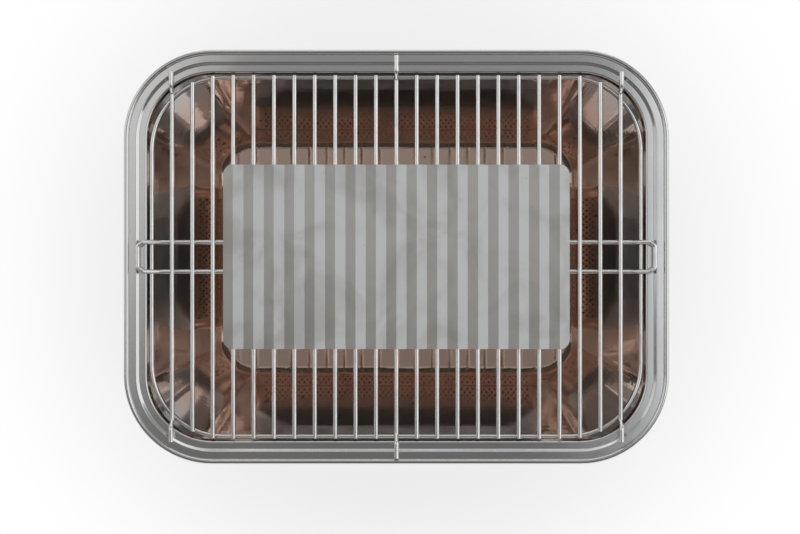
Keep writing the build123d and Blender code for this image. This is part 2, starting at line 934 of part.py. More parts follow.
def drawer_tray():
    """Sheet tray, cut to the slope of its front, with a collared inlet over the fan duct."""
    half = tray_half_width
    s = drawer_sheet
    x_far = rim_length
    tray = block(x_tray_back, x_far, -half, half, z_drawer, z_drawer_top)
    tray -= block(x_tray_back + s, x_divider - s, -half + s, half - s, z_tray_floor, z_drawer_top)
    tray -= block(x_divider, x_far, -half + s, half - s, z_tray_floor, z_drawer_top)
    z_collar = z_tray_floor + air_inlet_collar
    tray += upright(0, 0, z_drawer, z_collar, air_inlet_radius + s)
    tray -= upright(0, 0, z_drawer, z_collar, air_inlet_radius)
    return cut_to_front(tray)


def drawer_runners():
    z0 = z_drawer + runner_lift
    bars = []
    for side in (-1, 1):
        y0, y1 = sorted((side * tray_half_width, side * (tray_half_width + runner_width)))
        bars.append(block(x_tray_back, rail_half, y0, y1, z0, z0 + runner_height))
    return Compound(children=bars)


def drawer_rail(side):
    """Channel on the heat shield that holds one runner from below and above."""
    y_in = tray_half_width + slide_gap
    y_web = tray_half_width + runner_width + slide_gap
    y_out = y_web + rail_sheet
    z_leg = z_drawer + runner_lift - slide_gap
    z_cover = z_drawer + runner_lift + runner_height + slide_gap

    def strip(y0, y1, z0, z1):
        low, high = sorted((side * y0, side * y1))
        return block(-rail_half, rail_half, low, high, z0, z1)

    rail = strip(y_web, y_out, z_shield_top, z_cover + rail_sheet)
    rail += strip(y_in, y_web, z_leg - rail_sheet, z_leg)
    rail += strip(y_in, y_web, z_cover, z_cover + rail_sheet)
    return rail + strip(y_out, y_out + rail_foot, z_shield_top, z_shield_top + rail_sheet)


def basket_level(z, grow):
    """The tapered basket's outline at a height, a little larger or smaller all round."""
    inset = basket_taper * (z_drawer_top - z) / basket_depth - grow
    corner = basket_corner + grow
    return rounded(basket_length - 2 * inset, basket_width - 2 * inset, corner, z)


def basket_form(grow):
    levels = [basket_level(z_basket, grow), basket_level(z_drawer_top, grow)]
    return loft(levels, ruled=True)


def charcoal_basket():
    """Tapered basket, open below, that hangs in the tray by its flange."""
    basket = basket_form(0) + rounded_block(
        2 * x_divider, 2 * tray_half_width, basket_corner + basket_flange,
        z_drawer_top, z_basket_top,
    )
    basket -= basket_form(-drawer_sheet)
    return basket - extrude(basket_level(z_drawer_top, -drawer_sheet), amount=drawer_sheet)


def fire_grate():
    """Slotted plate that the charcoal lies on, wedged in the basket's taper."""
    z0 = z_basket + fire_grate_lift
    outline = basket_level(z0, -drawer_sheet)
    plate = extrude(outline, amount=fire_grate_sheet)
    x_half = outline.bounding_box().max.X
    y_half = outline.bounding_box().max.Y
    columns = int((2 * x_half - fire_slot_pitch) / fire_slot_pitch)
    slots = []
    for column in range(columns):
        x = (column - (columns - 1) / 2) * fire_slot_pitch
        for side in (-1, 1):
            y = side * y_half / 2
            slots.append(block(x - fire_slot_width / 2, x + fire_slot_width / 2,
                               y - fire_slot_length / 2, y + fire_slot_length / 2,
                               z0, z0 + fire_grate_sheet))
    return plate - slots


def ignition_tray():
    """Dish for lighting gel, on the tray's floor beside the air inlet."""
    s = drawer_sheet
    x0 = x_tray_back + igniter_inset
    z1 = z_tray_floor + igniter_height
    dish = block(x0, x0 + igniter_length, -igniter_width / 2, igniter_width / 2, z_tray_floor, z1)
    return dish - block(x0 + s, x0 + igniter_length - s, -igniter_width / 2 + s,
                        igniter_width / 2 - s, z_tray_floor + s, z1)


def drawer_front():
    """Sloping plate that covers the opening in the housing."""
    half = drawer_opening_half + front_overlap
    z0 = z_flange_top + front_gap
    z1 = z_opening_top + front_overlap
    skin = housing_form(front_gap + front_sheet, z_shield_top, z_housing_top)
    skin -= housing_form(front_gap, z_shield_top, z_housing_top)
    window = block(base_length / 4, rim_length, -half, half, z0, z1)
    window = fillet(window.edges().filter_by(Axis.X), front_corner)
    return skin & window


z_handle = (z_drawer + z_drawer_top) / 2 + handle_lift


def handle_posts():
    """Two posts whose inner ends follow the slope of the drawer front."""
    posts = []
    for side in (-1, 1):
        y = side * handle_post_spacing / 2
        x_end = handle_reach - handle_bar_depth / 2
        posts.append(along_x(base_length / 2, x_end, y, z_handle, handle_post_radius))
    solid = housing_form(front_gap + front_sheet, z_shield_top, z_housing_top)
    return Compound(children=[post - solid for post in posts])


def drawer_handle():
    """Rounded grip bar with sockets for its posts."""
    half = handle_bar_length / 2
    bar = block(handle_reach - handle_bar_depth, handle_reach, -half, half,
                z_handle - handle_bar_height / 2, z_handle + handle_bar_height / 2)
    bar = fillet(bar.edges().filter_by(Axis.X), handle_bar_end)
    bar = fillet(bar.edges().group_by(Axis.X)[-1], handle_bar_edge)
    for side in (-1, 1):
        y = side * handle_post_spacing / 2
        x_end = handle_reach - handle_bar_depth / 2 + handle_socket_gap
        bar -= along_x(base_length / 2, x_end, y, z_handle, handle_post_radius + handle_socket_gap)
    return bar


def write_parts(parts):
    os.makedirs("parts", exist_ok=True)
    for name, shape in parts.items():
        export_step(shape, f"parts/{name}.step")


parts = {
    "inner_pan": inner_pan(),
    "hood_cap": hood_cap(),
    "hood_corner_posts": hood_corner_posts(),
    "grate_ring": grate_ring(),
    "short_bars": short_bars(),
    "long_bars": long_bars(),
    "loop_wire": loop_wire(),
    "drip_plate": drip_plate(),
    "outer_housing": outer_housing(),
    "heat_shield": heat_shield(),
    "base_tub": base_tub(),
    "feet": feet(),
    "foot_screws": foot_screws(),
    "housing_screws": housing_screws(),
    "fan_motor": fan_motor(),
    "motor_screws": motor_screws(),
    "fan_shaft": fan_shaft(),
    "impeller": impeller(),
    "fan_shroud": fan_shroud(),
    "air_duct": air_duct(),
    "battery_tray": battery_tray(),
    "battery_tray_front": battery_tray_front(),
    "battery_cells": battery_cells(),
    "battery_sleeve": battery_sleeve(),
    "battery_contacts": battery_contacts(),
    "speed_knob": speed_knob(),
    "knob_pointer": knob_pointer(),
    "control_shaft": control_shaft(),
    "speed_control": speed_control(),
    "control_board": control_board(),
    "battery_lead": battery_lead(),
    "motor_lead": motor_lead(),
    "drawer_tray": drawer_tray(),
    "drawer_runners": drawer_runners(),
    "drawer_rail_front": drawer_rail(-1),
    "drawer_rail_back": drawer_rail(1),
    "charcoal_basket": charcoal_basket(),
    "fire_grate": fire_grate(),
    "ignition_tray": ignition_tray(),
    "drawer_front": drawer_front(),
    "handle_posts": handle_posts(),
    "drawer_handle": drawer_handle(),
}
parts.update(hood_screens())
write_parts(parts)
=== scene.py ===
"""Looks of the smokeless charcoal grill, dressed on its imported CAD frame.

Metres. +X is to the right, +Y to the back, +Z up, the origin on the table under the rim's middle.
"""

import json
import math

import bmesh
import bpy
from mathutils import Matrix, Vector


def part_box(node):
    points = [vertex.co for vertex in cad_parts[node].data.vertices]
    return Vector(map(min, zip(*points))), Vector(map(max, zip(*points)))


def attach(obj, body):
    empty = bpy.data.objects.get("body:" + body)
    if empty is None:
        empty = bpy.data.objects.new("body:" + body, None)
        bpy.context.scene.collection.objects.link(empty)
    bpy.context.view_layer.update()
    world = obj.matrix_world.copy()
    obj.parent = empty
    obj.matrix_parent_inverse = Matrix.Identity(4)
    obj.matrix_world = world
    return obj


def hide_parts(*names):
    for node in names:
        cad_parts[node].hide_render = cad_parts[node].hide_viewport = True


# Camera, straight above the grill
image_width = 800
rim_metres_per_pixel = 0.0006585
camera_above_rim = 0.85
camera_x = 0.0024
camera_y = -0.0067

# Perforation of the hood's screens
hole_pitch = 0.0040
row_pitch = 0.0024
hole_radius = 0.0009
round_profile = 0.0858  # bevel profile that rounds a hole's eight sides

# Pan's finish, with depths below the rim
satin_from = 0.018
satin_full = 0.010
satin_roughness = 0.09  # added to the smudges' own
heat_tint_from = 0.006
hot_floor = 0.008  # height above the pan's lowest point, below which the tint is full
film_metal_share = 0.82  # how much of the metal shows through the burnt-on film

# Hood's finish: depth below its highest point of the painted shade on its top, which stands for
# the drip plate's shade
painted_shade_depth = 0.003

# Floor, whose paper white thins near the grill: there it shows the grill's real shadow and also
# makes a painted shade all round it
floor_size = 8.0
shadow_reach = 0.17
white_from = 0.36
paper_share_near = 0.79

# White backdrop round the floor, as heights of the view direction
backdrop_full = 0.14
backdrop_gone = 0.26

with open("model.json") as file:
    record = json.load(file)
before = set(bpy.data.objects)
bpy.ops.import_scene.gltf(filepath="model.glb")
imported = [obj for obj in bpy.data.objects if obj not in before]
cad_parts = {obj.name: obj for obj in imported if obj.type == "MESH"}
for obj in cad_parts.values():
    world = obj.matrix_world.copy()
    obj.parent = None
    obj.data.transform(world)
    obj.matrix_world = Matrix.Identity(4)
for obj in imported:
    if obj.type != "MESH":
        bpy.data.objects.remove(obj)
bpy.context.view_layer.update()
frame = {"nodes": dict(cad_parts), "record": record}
record = frame["record"]
nodes = frame["nodes"]

pan_low, pan_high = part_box("inner_pan")
cap_low, cap_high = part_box("hood_cap")


# Shader nodes

def add_node(tree, kind, **settings):
    node = tree.nodes.new(kind)
    for name, value in settings.items():
        setattr(node, name, value)
    return node


def new_group(name, inputs, outputs):
    """An empty node group with named sockets; inputs give their type and default."""
    tree = bpy.data.node_groups.new(name, "ShaderNodeTree")
    for socket_name, socket_type, default in inputs:
        socket = tree.interface.new_socket(socket_name, in_out="INPUT", socket_type=socket_type)
        if default is not None:
            socket.default_value = default
    for socket_name, socket_type in outputs:
        tree.interface.new_socket(socket_name, in_out="OUTPUT", socket_type=socket_type)
    return tree, add_node(tree, "NodeGroupInput"), add_node(tree, "NodeGroupOutput")


def place_group(tree, group, vector, **values):
    """Puts a shared group into a material and sets its inputs by name."""
    node = add_node(tree, "ShaderNodeGroup", node_tree=group)
    tree.links.new(vector, node.inputs["Vector"])
    for name, value in values.items():
        node.inputs[name.replace("_", " ").capitalize()].default_value = value
    return node


def stretched_grain_group():
    """Fine lines along one direction, as rolling, drawing or brushing leaves them."""
    tree, given, result = new_group(
        "Stretched grain",
        [("Vector", "NodeSocketVector", None), ("Stretch", "NodeSocketVector", (1.0, 1.0, 1.0)),
         ("Fineness", "NodeSocketFloat", 900.0)],
        [("Height", "NodeSocketFloat")],
    )
    mapping = add_node(tree, "ShaderNodeMapping")
    noise = add_node(tree, "ShaderNodeTexNoise")
    noise.inputs["Detail"].default_value = 3.0
    tree.links.new(given.outputs["Vector"], mapping.inputs["Vector"])
    tree.links.new(given.outputs["Stretch"], mapping.inputs["Scale"])
    tree.links.new(mapping.outputs["Vector"], noise.inputs["Vector"])
    tree.links.new(given.outputs["Fineness"], noise.inputs["Scale"])
    tree.links.new(noise.outputs["Fac"], result.inputs["Height"])
    return tree


def smudge_group():
    """Roughness that drifts between clean and handled patches."""
    tree, given, result = new_group(
        "Smudges",
        [("Vector", "NodeSocketVector", None), ("Size", "NodeSocketFloat", 18.0),
         ("Clean", "NodeSocketFloat", 0.1), ("Smudged", "NodeSocketFloat", 0.3)],
        [("Roughness", "NodeSocketFloat"), ("Mask", "NodeSocketFloat")],
    )
    noise = add_node(tree, "ShaderNodeTexNoise")
    noise.inputs["Detail"].default_value = 6.0
    noise.inputs["Roughness"].default_value = 0.62
    noise.inputs["Distortion"].default_value = 0.6
    spread = add_node(tree, "ShaderNodeMapRange", interpolation_type="SMOOTHSTEP")
    spread.inputs["From Min"].default_value = 0.42
    spread.inputs["From Max"].default_value = 0.68
    blend = add_node(tree, "ShaderNodeMapRange")
    tree.links.new(given.outputs["Vector"], noise.inputs["Vector"])
    tree.links.new(given.outputs["Size"], noise.inputs["Scale"])
    tree.links.new(noise.outputs["Fac"], spread.inputs["Value"])
    tree.links.new(spread.outputs["Result"], blend.inputs["Value"])
    tree.links.new(given.outputs["Clean"], blend.inputs["To Min"])
    tree.links.new(given.outputs["Smudged"], blend.inputs["To Max"])
    tree.links.new(blend.outputs["Result"], result.inputs["Roughness"])
    tree.links.new(spread.outputs["Result"], result.inputs["Mask"])
    return tree


def heat_tint_and_shade_group():
    """Steel that turns from an upper colour to a brown one from one height down to another: heat
    tint on the pan; on the hood the upper colour is painted shade.
    """
    tree, given, result = new_group(
        "Heat tint and painted shade",
        [("Vector", "NodeSocketVector", None),
         ("Cold", "NodeSocketColor", (0.6, 0.6, 0.6, 1.0)),
         ("Hot", "NodeSocketColor", (0.5, 0.4, 0.33, 1.0)),
         ("Cold height", "NodeSocketFloat", 0.16), ("Hot height", "NodeSocketFloat", 0.1),
         ("Patchiness", "NodeSocketFloat", 0.3)],
        [("Color", "NodeSocketColor"), ("Mask", "NodeSocketFloat")],
    )
    split = add_node(tree, "ShaderNodeSeparateXYZ")
    ramp = add_node(tree, "ShaderNodeMapRange", interpolation_type="SMOOTHSTEP")
    noise = add_node(tree, "ShaderNodeTexNoise")
    noise.inputs["Scale"].default_value = 22.0
    noise.inputs["Detail"].default_value = 5.0
    centred = add_node(tree, "ShaderNodeMath", operation="SUBTRACT")
    centred.inputs[1].default_value = 0.5
    patch = add_node(tree, "ShaderNodeMath", operation="MULTIPLY")
    gate = add_node(tree, "ShaderNodeMath", operation="MULTIPLY")
    mask = add_node(tree, "ShaderNodeMath", operation="ADD", use_clamp=True)
    mix = add_node(tree, "ShaderNodeMix", data_type="RGBA")
    tree.links.new(given.outputs["Vector"], split.inputs["Vector"])
    tree.links.new(split.outputs["Z"], ramp.inputs["Value"])
    tree.links.new(given.outputs["Cold height"], ramp.inputs["From Min"])
    tree.links.new(given.outputs["Hot height"], ramp.inputs["From Max"])
    tree.links.new(given.outputs["Vector"], noise.inputs["Vector"])
    tree.links.new(noise.outputs["Fac"], centred.inputs[0])
    tree.links.new(centred.outputs["Value"], patch.inputs[0])
    tree.links.new(given.outputs["Patchiness"], patch.inputs[1])
    tree.links.new(patch.outputs["Value"], gate.inputs[0])
    tree.links.new(ramp.outputs["Result"], gate.inputs[1])
    tree.links.new(ramp.outputs["Result"], mask.inputs[0])
    tree.links.new(gate.outputs["Value"], mask.inputs[1])
    tree.links.new(mask.outputs["Value"], mix.inputs["Factor"])
    tree.links.new(given.outputs["Cold"], mix.inputs["A"])
    tree.links.new(given.outputs["Hot"], mix.inputs["B"])
    tree.links.new(mix.outputs["Result"], result.inputs["Color"])
    tree.links.new(mask.outputs["Value"], result.inputs["Mask"])
    return tree


def speck_group():
    """Small scattered spots, as dried splashes, soot or dust."""
    tree, given, result = new_group(
        "Specks",
        [("Vector", "NodeSocketVector", None), ("Spacing", "NodeSocketFloat", 120.0),
         ("Largest", "NodeSocketFloat", 0.22)],
        [("Mask", "NodeSocketFloat")],
    )
    cells = add_node(tree, "ShaderNodeTexVoronoi")
    pick = add_node(tree, "ShaderNodeSeparateColor")
    size = add_node(tree, "ShaderNodeMapRange")
    size.inputs["From Min"].default_value = 0.72
    edge = add_node(tree, "ShaderNodeMath", operation="LESS_THAN")
    tree.links.new(given.outputs["Vector"], cells.inputs["Vector"])
    tree.links.new(given.outputs["Spacing"], cells.inputs["Scale"])
    tree.links.new(cells.outputs["Color"], pick.inputs["Color"])
    tree.links.new(pick.outputs["Red"], size.inputs["Value"])
    tree.links.new(given.outputs["Largest"], size.inputs["To Max"])
    tree.links.new(cells.outputs["Distance"], edge.inputs[0])
    tree.links.new(size.outputs["Result"], edge.inputs[1])
    tree.links.new(edge.outputs["Value"], result.inputs["Mask"])
    return tree


def pebble_group():
    """Small even bumps, as on powder coat, rubber and moulded plastic."""
    tree, given, result = new_group(
        "Pebbled skin",
        [("Vector", "NodeSocketVector", None), ("Fineness", "NodeSocketFloat", 1400.0)],
        [("Height", "NodeSocketFloat")],
    )
    cells = add_node(tree, "ShaderNodeTexVoronoi", feature="SMOOTH_F1")
    tree.links.new(given.outputs["Vector"], cells.inputs["Vector"])
    tree.links.new(given.outputs["Fineness"], cells.inputs["Scale"])
    tree.links.new(cells.outputs["Distance"], result.inputs["Height"])
    return tree


stretched_grain = stretched_grain_group()
smudges = smudge_group()
heat_tint_and_shade = heat_tint_and_shade_group()
specks = speck_group()
pebbled_skin = pebble_group()


# Materials

def new_material(name):
    material = bpy.data.materials.new(name)
    material.use_nodes = True
    tree = material.node_tree
    place = add_node(tree, "ShaderNodeTexCoord").outputs["Object"]
    return material, tree, tree.nodes["Principled BSDF"], place


def add_bump(tree, shader, height, strength, distance, after=None):
    """A bump on the shader's normal, on top of another bump if one is given."""
    bump = add_node(tree, "ShaderNodeBump")
    bump.inputs["Strength"].default_value = strength
    bump.inputs["Distance"].default_value = distance
    tree.links.new(height, bump.inputs["Height"])
    if after is not None:
        tree.links.new(after.outputs["Normal"], bump.inputs["Normal"])
    tree.links.new(bump.outputs["Normal"], shader.inputs["Normal"])
    return bump


def mix_colors(tree, mask, base, over):
    """One colour over another where a mask says."""
    mix = add_node(tree, "ShaderNodeMix", data_type="RGBA")
    tree.links.new(mask, mix.inputs["Factor"])
    for socket, value in ((mix.inputs["A"], base), (mix.inputs["B"], over)):
        if isinstance(value, bpy.types.NodeSocket):
            tree.links.new(value, socket)
        else:
            socket.default_value = value
    return mix.outputs["Result"]


def polished_pan_steel():
    """Drawn stainless sheet: satin on the rim, mirror-like inside, with a thin burnt-on film that
    browns and dulls it towards the fire, and faint lines around it from the drawing."""
    material, tree, shader, place = new_material("Polished pan steel")
    tint = place_group(
        tree, heat_tint_and_shade, place,
        cold=(0.66, 0.66, 0.66, 1.0), hot=(0.8, 0.59, 0.49, 1.0),
        cold_height=pan_high.z - heat_tint_from, hot_height=pan_low.z + hot_floor,
        patchiness=0.3,
    )
    handled = place_group(tree, smudges, place, size=14.0, clean=0.05, smudged=0.1)
    splash = place_group(tree, specks, place, spacing=95.0, largest=0.1)
    splash_inside = add_node(tree, "ShaderNodeMath", operation="MULTIPLY")
    tree.links.new(splash.outputs["Mask"], splash_inside.inputs[0])
    tree.links.new(tint.outputs["Mask"], splash_inside.inputs[1])
    color = mix_colors(
        tree, splash_inside.outputs["Value"], tint.outputs["Color"], (0.3, 0.2, 0.15, 1.0)
    )
    height = add_node(tree, "ShaderNodeSeparateXYZ")
    satin = add_node(tree, "ShaderNodeMapRange", interpolation_type="SMOOTHSTEP")
    satin.inputs["From Min"].default_value = pan_high.z - satin_from
    satin.inputs["From Max"].default_value = pan_high.z - satin_full
    satin.inputs["To Max"].default_value = satin_roughness
    rough = add_node(tree, "ShaderNodeMath", operation="ADD")
    tree.links.new(place, height.inputs["Vector"])
    tree.links.new(height.outputs["Z"], satin.inputs["Value"])
    tree.links.new(satin.outputs["Result"], rough.inputs[0])
    tree.links.new(handled.outputs["Roughness"], rough.inputs[1])
    tree.links.new(color, shader.inputs["Base Color"])
    tree.links.new(rough.outputs["Value"], shader.inputs["Roughness"])
    film = add_node(tree, "ShaderNodeMapRange")
    film.inputs["To Min"].default_value = 1.0
    film.inputs["To Max"].default_value = film_metal_share
    tree.links.new(tint.outputs["Mask"], film.inputs["Value"])
    tree.links.new(film.outputs["Result"], shader.inputs["Metallic"])
    waves = add_node(tree, "ShaderNodeTexNoise")
    waves.inputs["Scale"].default_value = 26.0
    tree.links.new(place, waves.inputs["Vector"])
    wavy = add_bump(tree, shader, waves.outputs["Fac"], 0.035, 0.002)
    drawn = place_group(tree, stretched_grain, place, stretch=(0.05, 0.05, 1.0), fineness=420.0)
    add_bump(tree, shader, drawn.outputs["Height"], 0.045, 0.0006, after=wavy)
    return material


def grate_wire_steel():
    """Bright drawn wire with a slight haze."""
    material, tree, shader, place = new_material("Grate wire steel")
    handled = place_group(tree, smudges, place, size=60.0, clean=0.16, smudged=0.24)
    color = mix_colors(
        tree, handled.outputs["Mask"], (0.8, 0.8, 0.785, 1.0), (0.74, 0.725, 0.7, 1.0)
    )
    grain = place_group(tree, stretched_grain, place, stretch=(1.0, 0.03, 1.0), fineness=1500.0)
    tree.links.new(color, shader.inputs["Base Color"])
    tree.links.new(handled.outputs["Roughness"], shader.inputs["Roughness"])
    shader.inputs["Metallic"].default_value = 1.0
    add_bump(tree, shader, grain.outputs["Height"], 0.04, 0.0004)
    return material


def drip_plate_steel():
    """Satin rolled sheet; its grain runs along the folds."""
    material, tree, shader, place = new_material("Drip plate steel")
    handled = place_group(tree, smudges, place, size=24.0, clean=0.3, smudged=0.37)
    grain = place_group(tree, stretched_grain, place, stretch=(1.0, 0.02, 1.0), fineness=1100.0)
    splash = place_group(tree, specks, place, spacing=140.0, largest=0.1)
    worn = mix_colors(
        tree, handled.outputs["Mask"], (0.42, 0.42, 0.41, 1.0), (0.38, 0.37, 0.355, 1.0)
    )
    color = mix_colors(tree, splash.outputs["Mask"], worn, (0.4, 0.34, 0.28, 1.0))
    tree.links.new(color, shader.inputs["Base Color"])
    tree.links.new(handled.outputs["Roughness"], shader.inputs["Roughness"])
    shader.inputs["Metallic"].default_value = 1.0
    add_bump(tree, shader, grain.outputs["Height"], 0.1, 0.0004)
    return material


def fired_steel():
    """Sheet beside the fire: browned below, darker on top of the hood with painted shade from the
    drip plate, and with soot blotches.
    """
    material, tree, shader, place = new_material("Fired steel")
    # The upper (cold) colour is painted shade: it darkens the hood's top as the drip plate's
    # shade would.
    top_shade = place_group(
        tree, heat_tint_and_shade, place,
        cold=(0.3, 0.25, 0.22, 1.0), hot=(0.8, 0.65, 0.55, 1.0),
        cold_height=cap_high.z - painted_shade_depth, hot_height=cap_low.z, patchiness=0.2,
    )
    soot = place_group(tree, smudges, place, size=30.0, clean=0.28, smudged=0.42)
    stain = place_group(tree, specks, place, spacing=160.0, largest=0.2)
    browned = add_node(tree, "ShaderNodeMix", data_type="RGBA", blend_type="MULTIPLY")
    browned.inputs["B"].default_value = (0.7, 0.66, 0.62, 1.0)
    tree.links.new(soot.outputs["Mask"], browned.inputs["Factor"])
    tree.links.new(top_shade.outputs["Color"], browned.inputs["A"])
    color = mix_colors(
        tree, stain.outputs["Mask"], browned.outputs["Result"], (0.2, 0.15, 0.12, 1.0)
    )
    tree.links.new(color, shader.inputs["Base Color"])
    tree.links.new(soot.outputs["Roughness"], shader.inputs["Roughness"])
    shader.inputs["Metallic"].default_value = 1.0
    grain = place_group(tree, stretched_grain, place, stretch=(0.03, 1.0, 1.0), fineness=1000.0)
    add_bump(tree, shader, grain.outputs["Height"], 0.06, 0.0004)
    return material


def powder_coat():
    """Anthracite powder coat with its fine orange peel."""
    material, tree, shader, place = new_material("Anthracite powder coat")
    handled = place_group(tree, smudges, place, size=12.0, clean=0.42, smudged=0.52)
    dust = place_group(tree, specks, place, spacing=260.0, largest=0.12)
    coat = mix_colors(
        tree, handled.outputs["Mask"], (0.045, 0.047, 0.05, 1.0), (0.06, 0.061, 0.063, 1.0)
    )
    color = mix_colors(tree, dust.outputs["Mask"], coat, (0.1, 0.1, 0.1, 1.0))
    peel = place_group(tree, pebbled_skin, place, fineness=900.0)
    tree.links.new(color, shader.inputs["Base Color"])
    tree.links.new(handled.outputs["Roughness"], shader.inputs["Roughness"])
    add_bump(tree, shader, peel.outputs["Height"], 0.16, 0.0004)
    return material


def zinc_sheet():
    """Zinc plate with faint crystal patches."""
    material, tree, shader, place = new_material("Zinc plate")
    crystals = add_node(tree, "ShaderNodeTexVoronoi")
    crystals.inputs["Scale"].default_value = 240.0
    shade = add_node(tree, "ShaderNodeSeparateColor")
    tree.links.new(place, crystals.inputs["Vector"])
    tree.links.new(crystals.outputs["Color"], shade.inputs["Color"])
    color = mix_colors(
        tree, shade.outputs["Red"], (0.56, 0.58, 0.6, 1.0), (0.66, 0.67, 0.68, 1.0)
    )
    handled = place_group(tree, smudges, place, size=40.0, clean=0.28, smudged=0.42)
    tree.links.new(color, shader.inputs["Base Color"])
    tree.links.new(handled.outputs["Roughness"], shader.inputs["Roughness"])
    shader.inputs["Metallic"].default_value = 1.0
    return material


def moulded_plastic(name, color, worn_color, clean, smudged, fineness, bump):
    """Moulded plastic or rubber with an even grain and slightly paler handled patches."""
    material, tree, shader, place = new_material(name)
    handled = place_group(tree, smudges, place, size=26.0, clean=clean, smudged=smudged)
    grain = place_group(tree, pebbled_skin, place, fineness=fineness)
    mixed = mix_colors(tree, handled.outputs["Mask"], color, worn_color)
    tree.links.new(mixed, shader.inputs["Base Color"])
    tree.links.new(handled.outputs["Roughness"], shader.inputs["Roughness"])
    add_bump(tree, shader, grain.outputs["Height"], bump, 0.0004)
    return material


slot_materials = {
    "polished_steel": polished_pan_steel(),
    "wire_steel": grate_wire_steel(),
    "satin_sheet": drip_plate_steel(),
    "hot_steel": fired_steel(),
    "housing_paint": powder_coat(),
    "zinc_plate": zinc_sheet(),
    "black_plastic": moulded_plastic(
        "Black moulded plastic", (0.022, 0.022, 0.023, 1.0), (0.035, 0.035, 0.036, 1.0),
        0.45, 0.58, 1600.0, 0.25,
    ),
    "foot_rubber": moulded_plastic(
        "Foot rubber", (0.018, 0.018, 0.018, 1.0), (0.04, 0.038, 0.036, 1.0),
        0.7, 0.85, 1100.0, 0.2,
    ),
    "cell_jacket": moulded_plastic(
        "Cell jacket", (0.05, 0.06, 0.09, 1.0), (0.07, 0.08, 0.11, 1.0), 0.18, 0.3, 700.0, 0.05
    ),
    "pointer_white": moulded_plastic(
        "White pointer paint", (0.8, 0.8, 0.78, 1.0), (0.7, 0.7, 0.67, 1.0),
        0.35, 0.5, 1500.0, 0.1,
    ),
    "board_green": moulded_plastic(
        "Green circuit board", (0.02, 0.12, 0.05, 1.0), (0.03, 0.16, 0.07, 1.0),
        0.25, 0.4, 1200.0, 0.1,
    ),
    "lead_sleeve": moulded_plastic(
        "Lead sleeve", (0.3, 0.02, 0.02, 1.0), (0.4, 0.05, 0.04, 1.0), 0.35, 0.5, 1500.0, 0.1
    ),
}


def dress(piece, slot_name):
    """Gives a piece the one material of its slot."""
    piece.data.materials.clear()
    piece.data.materials.append(slot_materials[slot_name])


node_slots = {part["node"]: part["material_slot"] for part in record["subparts"]}
for node_name, cad_node in nodes.items():
    dress(cad_node, node_slots[node_name])


# Modelling helpers

def deselect_all():
    bpy.ops.object.select_all(action="DESELECT")


def edit(piece):
    """Opens a piece in edit mode, for its points, with nothing selected."""
    deselect_all()
    bpy.context.view_layer.objects.active = piece
    piece.select_set(True)
    bpy.ops.object.mode_set(mode="EDIT")
    bpy.ops.mesh.select_mode(type="VERT")
    bpy.ops.mesh.select_all(action="DESELECT")


def select_points(piece, wanted):
    """Selects the vertices whose place passes a test."""
    bpy.ops.mesh.select_all(action="DESELECT")
    mesh = bmesh.from_edit_mesh(piece.data)
    for vertex in mesh.verts:
        vertex.select = wanted(vertex.co)
    mesh.select_flush_mode()
    bmesh.update_edit_mesh(piece.data)


def leave_edit():
    bpy.ops.object.mode_set(mode="OBJECT")


def set_in_place():
    bpy.ops.object.transform_apply(location=True, rotation=True, scale=True)


def give_thickness(piece, thickness):
    """A wall of even thickness about the modelled sheet."""
    solid = piece.modifiers.new("Wall", "SOLIDIFY")
    solid.thickness = thickness
    solid.offset = 0.0
    bpy.ops.object.modifier_apply(modifier=solid.name)


# Perforated screens of the hood

def perforated_screen(node_name):
    """Punched sheet with staggered round holes, in the place of the plain plate."""
    low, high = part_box(node_name)
    across = high - low
    runs_along_x = across.x > across.y
    length = across.x if runs_along_x else across.y
    thickness = across.y if runs_along_x else across.x
    columns = round(2 * length / hole_pitch)
    rows = int((cap_low.z - low.z) / row_pitch) + 1
    punched = rows * row_pitch
    middle = (low + high) / 2
    deselect_all()
    bpy.ops.mesh.primitive_grid_add(
        x_subdivisions=columns, y_subdivisions=rows, size=1.0,
        location=(middle.x, middle.y, low.z + punched / 2),
        rotation=(math.radians(90), 0.0, 0.0 if runs_along_x else math.radians(90)),
    )
    screen = bpy.context.object
    screen.name = node_name + "_punched"
    screen.scale = (length, punched, 1.0)
    set_in_place()

    def column(point):
        start = low.x if runs_along_x else low.y
        return ((point.x if runs_along_x else point.y) - start) * columns / length

    def row(point):
        return (point.z - low.z) / row_pitch

    def is_hole_centre(point):
        i, j = round(column(point)), round(row(point))
        exact = abs(column(point) - i) < 0.01 and abs(row(point) - j) < 0.01
        return exact and 0 < i < columns and 0 < j < rows and (i + j) % 2 == 0

    edit(screen)
    select_points(screen, is_hole_centre)
    bpy.ops.mesh.bevel(
        affect="VERTICES", offset=hole_radius, segments=2, profile=round_profile
    )
    select_points(screen, is_hole_centre)
    bpy.ops.mesh.delete(type="VERT")
    select_points(screen, lambda point: row(point) > rows - 0.01)
    bpy.ops.transform.translate(value=(0.0, 0.0, high.z - low.z - punched))
    leave_edit()
    give_thickness(screen, thickness)
    dress(screen, "hot_steel")
    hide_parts(node_name)
    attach(screen, "hood")


for side in ("front", "back", "left", "right"):
    perforated_screen("hood_screen_" + side)


# Floor, light and camera

def shown_only(tree, share):
    """A share that counts only to the camera and in the steel's reflections."""
    path = add_node(tree, "ShaderNodeLightPath")
    seen = add_node(tree, "ShaderNodeMath", operation="MAXIMUM")
    shown = add_node(tree, "ShaderNodeMath", operation="MULTIPLY")
    tree.links.new(path.outputs["Is Camera Ray"], seen.inputs[0])
    tree.links.new(path.outputs["Is Glossy Ray"], seen.inputs[1])
    tree.links.new(seen.outputs["Value"], shown.inputs[0])
    tree.links.new(share, shown.inputs[1])
    return shown.outputs["Value"]


